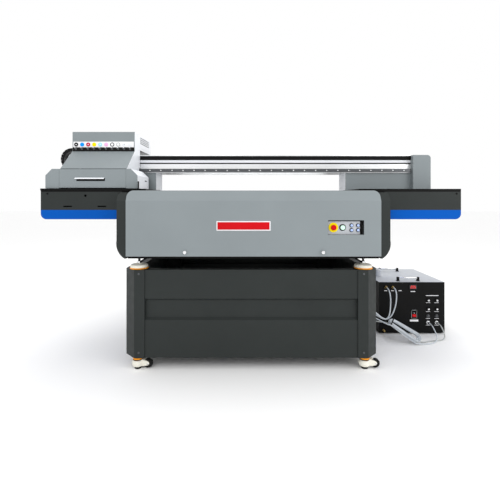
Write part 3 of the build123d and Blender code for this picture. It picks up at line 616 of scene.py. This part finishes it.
def build_caster(tag, x, y):
    """Levelling caster: moulded housing, orange height ring, rubber foot and a wheel in its fork."""
    body = f"swivel_{tag}"
    base = at(x, y, 0)
    shell = [(20, 14), (29, 16), (34.5, 23), (36.5, 32), (35.5, 43), (31, 51), (26, 54)]
    housing = lathe(f"caster_housing_{tag}", base, UP, shell, body, "ivory_plastic", sides=64)
    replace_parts(housing, f"caster_{tag}")
    band = [(26, 54), (29, 55), (29, 59), (27, 60)]
    lathe(f"caster_band_{tag}", base, UP, band, body, "black_rubber")
    ring = [(27, 60), (30.5, 61), (30.5, 70), (27, 71.5), (10, 72), (10, 75.4)]
    lathe(
        f"caster_ring_{tag}", base, UP, ring, body, "orange_rubber",
        sides=96, flutes=24, flute_depth=0.0016,
    )
    foot = [(20, 0), (21, 1), (21, 6), (17, 9), (16, 14)]
    lathe(f"caster_foot_{tag}", base, UP, foot, body, "black_rubber")
    builder = bmesh.new()
    outline = [(0, 20), (8, 52), (34, 58), (58, 51), (72, 42), (75, 32), (69, 23), (44, 18)]
    for side in (-1, 1):
        points = [at(x + dx, y + side * 13.2, z) for dx, z in outline]
        add_prism(builder, points, Vector((0, side * 0.0045, 0)))
    bridge = [at(x + dx, y - 13.2, z) for dx, z in ((20, 53.5), (52, 58), (52, 61), (20, 57))]
    add_prism(builder, bridge, Vector((0, 0.0264, 0)))
    bmesh.ops.bevel(builder, geom=list(builder.edges), offset=0.0012, segments=2, affect="EDGES")
    piece(f"caster_fork_{tag}", finish_mesh(builder, "fork"), body, "ivory_plastic")
    bolt = [(6, 0), (6, 2), (4.5, 3.4)]
    axle_x = x + WHEEL_OFFSET
    for side in (-1, 1):
        place = at(axle_x, y + side * 17.7, WHEEL_Z)
        lathe(f"axle_head_{tag}_{side + 1}", place, (0, side, 0), bolt, body, "chrome", sides=6)
    tyre = [
        (10, -11.6), (22, -11.8), (26, -11), (28, -7), (28, 7), (26, 11), (22, 11.8), (10, 11.6),
    ]
    middle = at(axle_x, y, WHEEL_Z)
    wheel = lathe(
        f"caster_tyre_{tag}", middle, FRONT, tyre, f"wheel_{tag}", "black_rubber", sides=64
    )
    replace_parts(wheel, f"caster_wheel_{tag}")


def build_panel_screws():
    """Screws at the foot and head of the posts, and on the front of the wings."""
    profile = [(6.5, 0), (6.5, 1.2), (4.6, 2.6), (2.6, 2.8), (2.4, 1.4)]
    head = [(radius * MM, height * MM) for radius, height in profile]
    builder = bmesh.new()
    for side in (-1, 1):
        for y, axis in ((40, FRONT), (1360, (0, 1, 0))):
            for z in (109, 599):
                add_lathe(builder, at(STAND_X + side * 700, y, z), Vector(axis), head, 20)
    piece("post_screws", finish_mesh(builder, "post_screws"), "machine", "steel")
    builder = bmesh.new()
    for x in (-1324, -860, 845, 1309):
        add_lathe(builder, at(x, 120, 1100), Vector(FRONT), head, 20)
    piece("wing_screws", finish_mesh(builder, "wing_screws"), "gantry", "black_plastic")


for corner, side, end in corner_names:
    build_isolator(corner, STAND_X + side * CASTER_X, ISOLATOR_Y[end])
    build_caster(corner, STAND_X + side * CASTER_X, CASTER_Y[end])
build_panel_screws()
isolators = [obj for obj in bpy.data.objects if obj.name.startswith("isolator_dome")]
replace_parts(isolators[0], "levelling_feet")


# ---- lamp supply box ----
BOX_FRONT, BOX_TOP = 649.0, 410.0
PORT_X = (1389.0, 1456.0)  # lamp sockets and the knobs above them
HOSE_X = (1054, 1108)
DIGIT_X, DIGIT_PITCH, DIGIT_Z = 1250, 15, 362
TIE_WIDTH, TIE_DEPTH, TIE_SIDES = 42.0, 13.0, 64


def build_handles():
    """Two bail handles on the lid: a bright bar between black posts."""
    grip = [(6.5, -76), (7.6, -74), (7.6, 74), (6.5, 76)]
    for i, (x, y) in enumerate(((1249, 692), (1243, 1080))):
        bar = lathe(f"handle_grip_{i + 1}", at(x, y, BOX_TOP + 24), RIGHT, grip, "machine", "chrome")
        corners = []
        for end in (-80, 80):
            corners.append(((x + end - 9, y - 9, BOX_TOP), (x + end + 9, y + 9, BOX_TOP + 32)))
            corners.append(((x + end - 13, y - 12, BOX_TOP), (x + end + 13, y + 12, BOX_TOP + 4)))
        blocks(f"handle_posts_{i + 1}", corners, "machine", "black_plastic", 2.0)
        if i == 0:
            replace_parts(bar, "box_handles")


def build_knobs():
    """Four fluted knobs with a bright cap and a pointer line."""
    profile = [(11.4, 1.2), (11.4, 3), (9.6, 4), (9.2, 13.4), (8.2, 14)]
    cap = [(7.4, 14), (7.4, 14.4), (6.6, 14.8)]
    spots = [(x, z) for z in (268, 199) for x in PORT_X]
    for i, (x, z) in enumerate(spots):
        name = f"box_knob_{i + 1}"
        base = at(x, BOX_FRONT, z)
        knob = lathe(
            f"knob_grip_{i + 1}", base, FRONT, profile, name, "black_plastic",
            sides=96, flutes=18, flute_depth=0.0008,
        )
        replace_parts(knob, name)
        lathe(f"knob_cap_{i + 1}", base, FRONT, cap, name, "chrome", sides=40)
        builder = bmesh.new()
        add_block(builder, at(x - 0.8, BOX_FRONT - 14.9, z), at(x + 0.8, BOX_FRONT - 14.4, z + 7.2))
        piece(f"knob_line_{i + 1}", finish_mesh(builder, "line"), name, "black_plastic", smooth=False)


SEGMENTS = {"0": "abcdef", "2": "abdeg", "5": "acdfg"}


def build_display():
    """Seven-segment red digits on a dark window."""
    bezel = [((1238, BOX_FRONT - 4, 353), (1302, BOX_FRONT, 392))]
    blocks("display_bezel", bezel, "machine", "black_plastic", 1.2)
    glass = [((1243, BOX_FRONT - 4.4, 357), (1297, BOX_FRONT - 4, 388))]
    blocks("display_glass", glass, "machine", "dark_glass", 0.1)
    builder = bmesh.new()
    width, height, bar = 9.0, 20.0, 1.7
    spans = {
        "a": (0, height - bar, width, height), "d": (0, 0, width, bar), "g": (0, 8.8, width, 11.2),
        "f": (0, 10, bar, height), "b": (width - bar, 10, width, height),
        "e": (0, 0, bar, 10), "c": (width - bar, 0, width, 10),
    }
    for place, digit in enumerate("205"):
        for segment in SEGMENTS[digit]:
            x0, z0, x1, z1 = spans[segment]
            x, z = DIGIT_X + place * DIGIT_PITCH, DIGIT_Z
            add_block(builder, at(x + x0, BOX_FRONT - 4.8, z + z0), at(x + x1, BOX_FRONT - 4.4, z + z1))
    piece("display_digits", finish_mesh(builder, "digits"), "machine", "display_red", smooth=False)


def build_box_front():
    """Fittings, sockets, the power switch's frame and blank labels on the supply's front."""
    fitting = [(10, 0), (10, 5), (8.6, 6), (8.6, 12), (7.2, 13), (7.2, 17), (6.2, 24)]
    fittings = []
    for i, x in enumerate(HOSE_X):
        base = at(x, BOX_FRONT, 371)
        fittings.append(
            lathe(f"hose_fitting_{i + 1}", base, FRONT, fitting, "machine", "brass", sides=24)
        )
    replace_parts(fittings[0], "box_fittings")
    shell = [(13.5, 0), (13.5, 2), (11, 2.4), (11, 10), (9.6, 10.4), (9.0, 7.0)]
    plug = [(13.5, 0), (13.5, 2), (11, 2.4), (11, 12), (9.5, 13), (8, 22), (5.2, 30)]
    for i, x in enumerate(PORT_X):
        lathe(f"socket_{i + 1}", at(x, BOX_FRONT, 143), FRONT, shell, "machine", "steel", sides=32)
        lathe(f"cable_plug_{i + 1}", at(x, BOX_FRONT, 91), FRONT, plug, "machine", "chrome", sides=32)
    cock = [(8, 0), (8, 6), (6, 8), (6, 20), (8, 21), (8, 24)]
    lathe("drain_cock", at(1036, BOX_FRONT, 32), FRONT, cock, "machine", "brass", sides=6)
    frames = (("bezel_outline", "grey_cable", 0.0, 4.0), ("bezel_frame", "black_plastic", 2.0, 4.4))
    for name, slot, inset, depth in frames:
        x0, x1, z0, z1 = 1256 + inset, 1300 - inset, 124 + inset, 190 - inset
        y0, wide = BOX_FRONT - depth, 7.0 - inset
        sides = [((x0, y0, z0), (x0 + wide, BOX_FRONT, z1)), ((x1 - wide, y0, z0), (x1, BOX_FRONT, z1))]
        sides += [((x0, y0, z1 - wide), (x1, BOX_FRONT, z1)), ((x0, y0, z0), (x1, BOX_FRONT, z0 + wide))]
        blocks(name, sides, "machine", slot, 0.5)
    blank = [((1246, BOX_FRONT - 0.6, 99), (1312, BOX_FRONT, 114))]
    face = BOX_FRONT - 0.5
    for x in PORT_X:
        blank += [((x - 17, face, z), (x + 17, BOX_FRONT, z + 3)) for z in (246, 176, 121, 69)]
    blank += [((x - 12, face, 340), (x + 12, BOX_FRONT, 345)) for x in (*HOSE_X, 1168)]
    blank.append(((1372, face, 301), (1472, BOX_FRONT, 306)))
    blank.append(((1252, face, 333), (1288, BOX_FRONT, 339)))
    blocks("blank_labels", blank, "machine", "white_plastic", 0.1)


def build_rocker():
    """Two-coloured paddle: black above with a pale mark, red below."""
    halves = (
        ("rocker_upper", "black_plastic", [(1.5, 19), (-4, 19), (-6, 10), (-2.6, 0), (1.5, 0)]),
        ("rocker_paddle", "red_plastic", [(1.5, 0), (-2.6, 0), (-8, -12), (-9, -19), (1.5, -19)]),
    )
    for name, slot, points in halves:
        builder = bmesh.new()
        outline = [at(1264.2, BOX_FRONT + y, 157 + z) for y, z in points]
        add_prism(builder, outline, Vector((0.0276, 0, 0)))
        paddle = piece(name, finish_mesh(builder, name), "box_rocker", slot, smooth=False)
    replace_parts(paddle, "box_rocker")
    blocks("rocker_mark", [((1276, 642.4, 164), (1280, 644.5, 170))], "box_rocker", "white_plastic", 0.1)


def build_tie():
    """Black tie round the spare cable, near the end where the tubes pass."""
    builder = bmesh.new()
    rings = []
    for along, push in ((-99, 0), (-99, 1.6), (-91, 1.6), (-91, 0)):
        ring = []
        for i in range(TIE_SIDES):
            angle = 2 * pi * i / TIE_SIDES
            across, depth = (TIE_WIDTH + push) * cos(angle), (TIE_DEPTH + push) * sin(angle)
            place = hank_place(along, across, depth)
            ring.append(builder.verts.new(at(*place)))
        rings.append(ring)
    join_rings(builder, rings + rings[:1])
    piece("hank_tie", finish_mesh(builder, "hank_tie"), "machine", "black_plastic")


build_handles()
build_knobs()
build_display()
build_box_front()
build_rocker()
build_tie()


# ---- floor ----
floor_builder = bmesh.new()
add_block(floor_builder, Vector((-30, -20, -0.02)), Vector((30, 30, 0.0)))
floor = bpy.data.objects.new("studio_floor", finish_mesh(floor_builder, "studio_floor"))
floor.data.materials.append(floor_look.material)
bpy.context.collection.objects.link(floor)
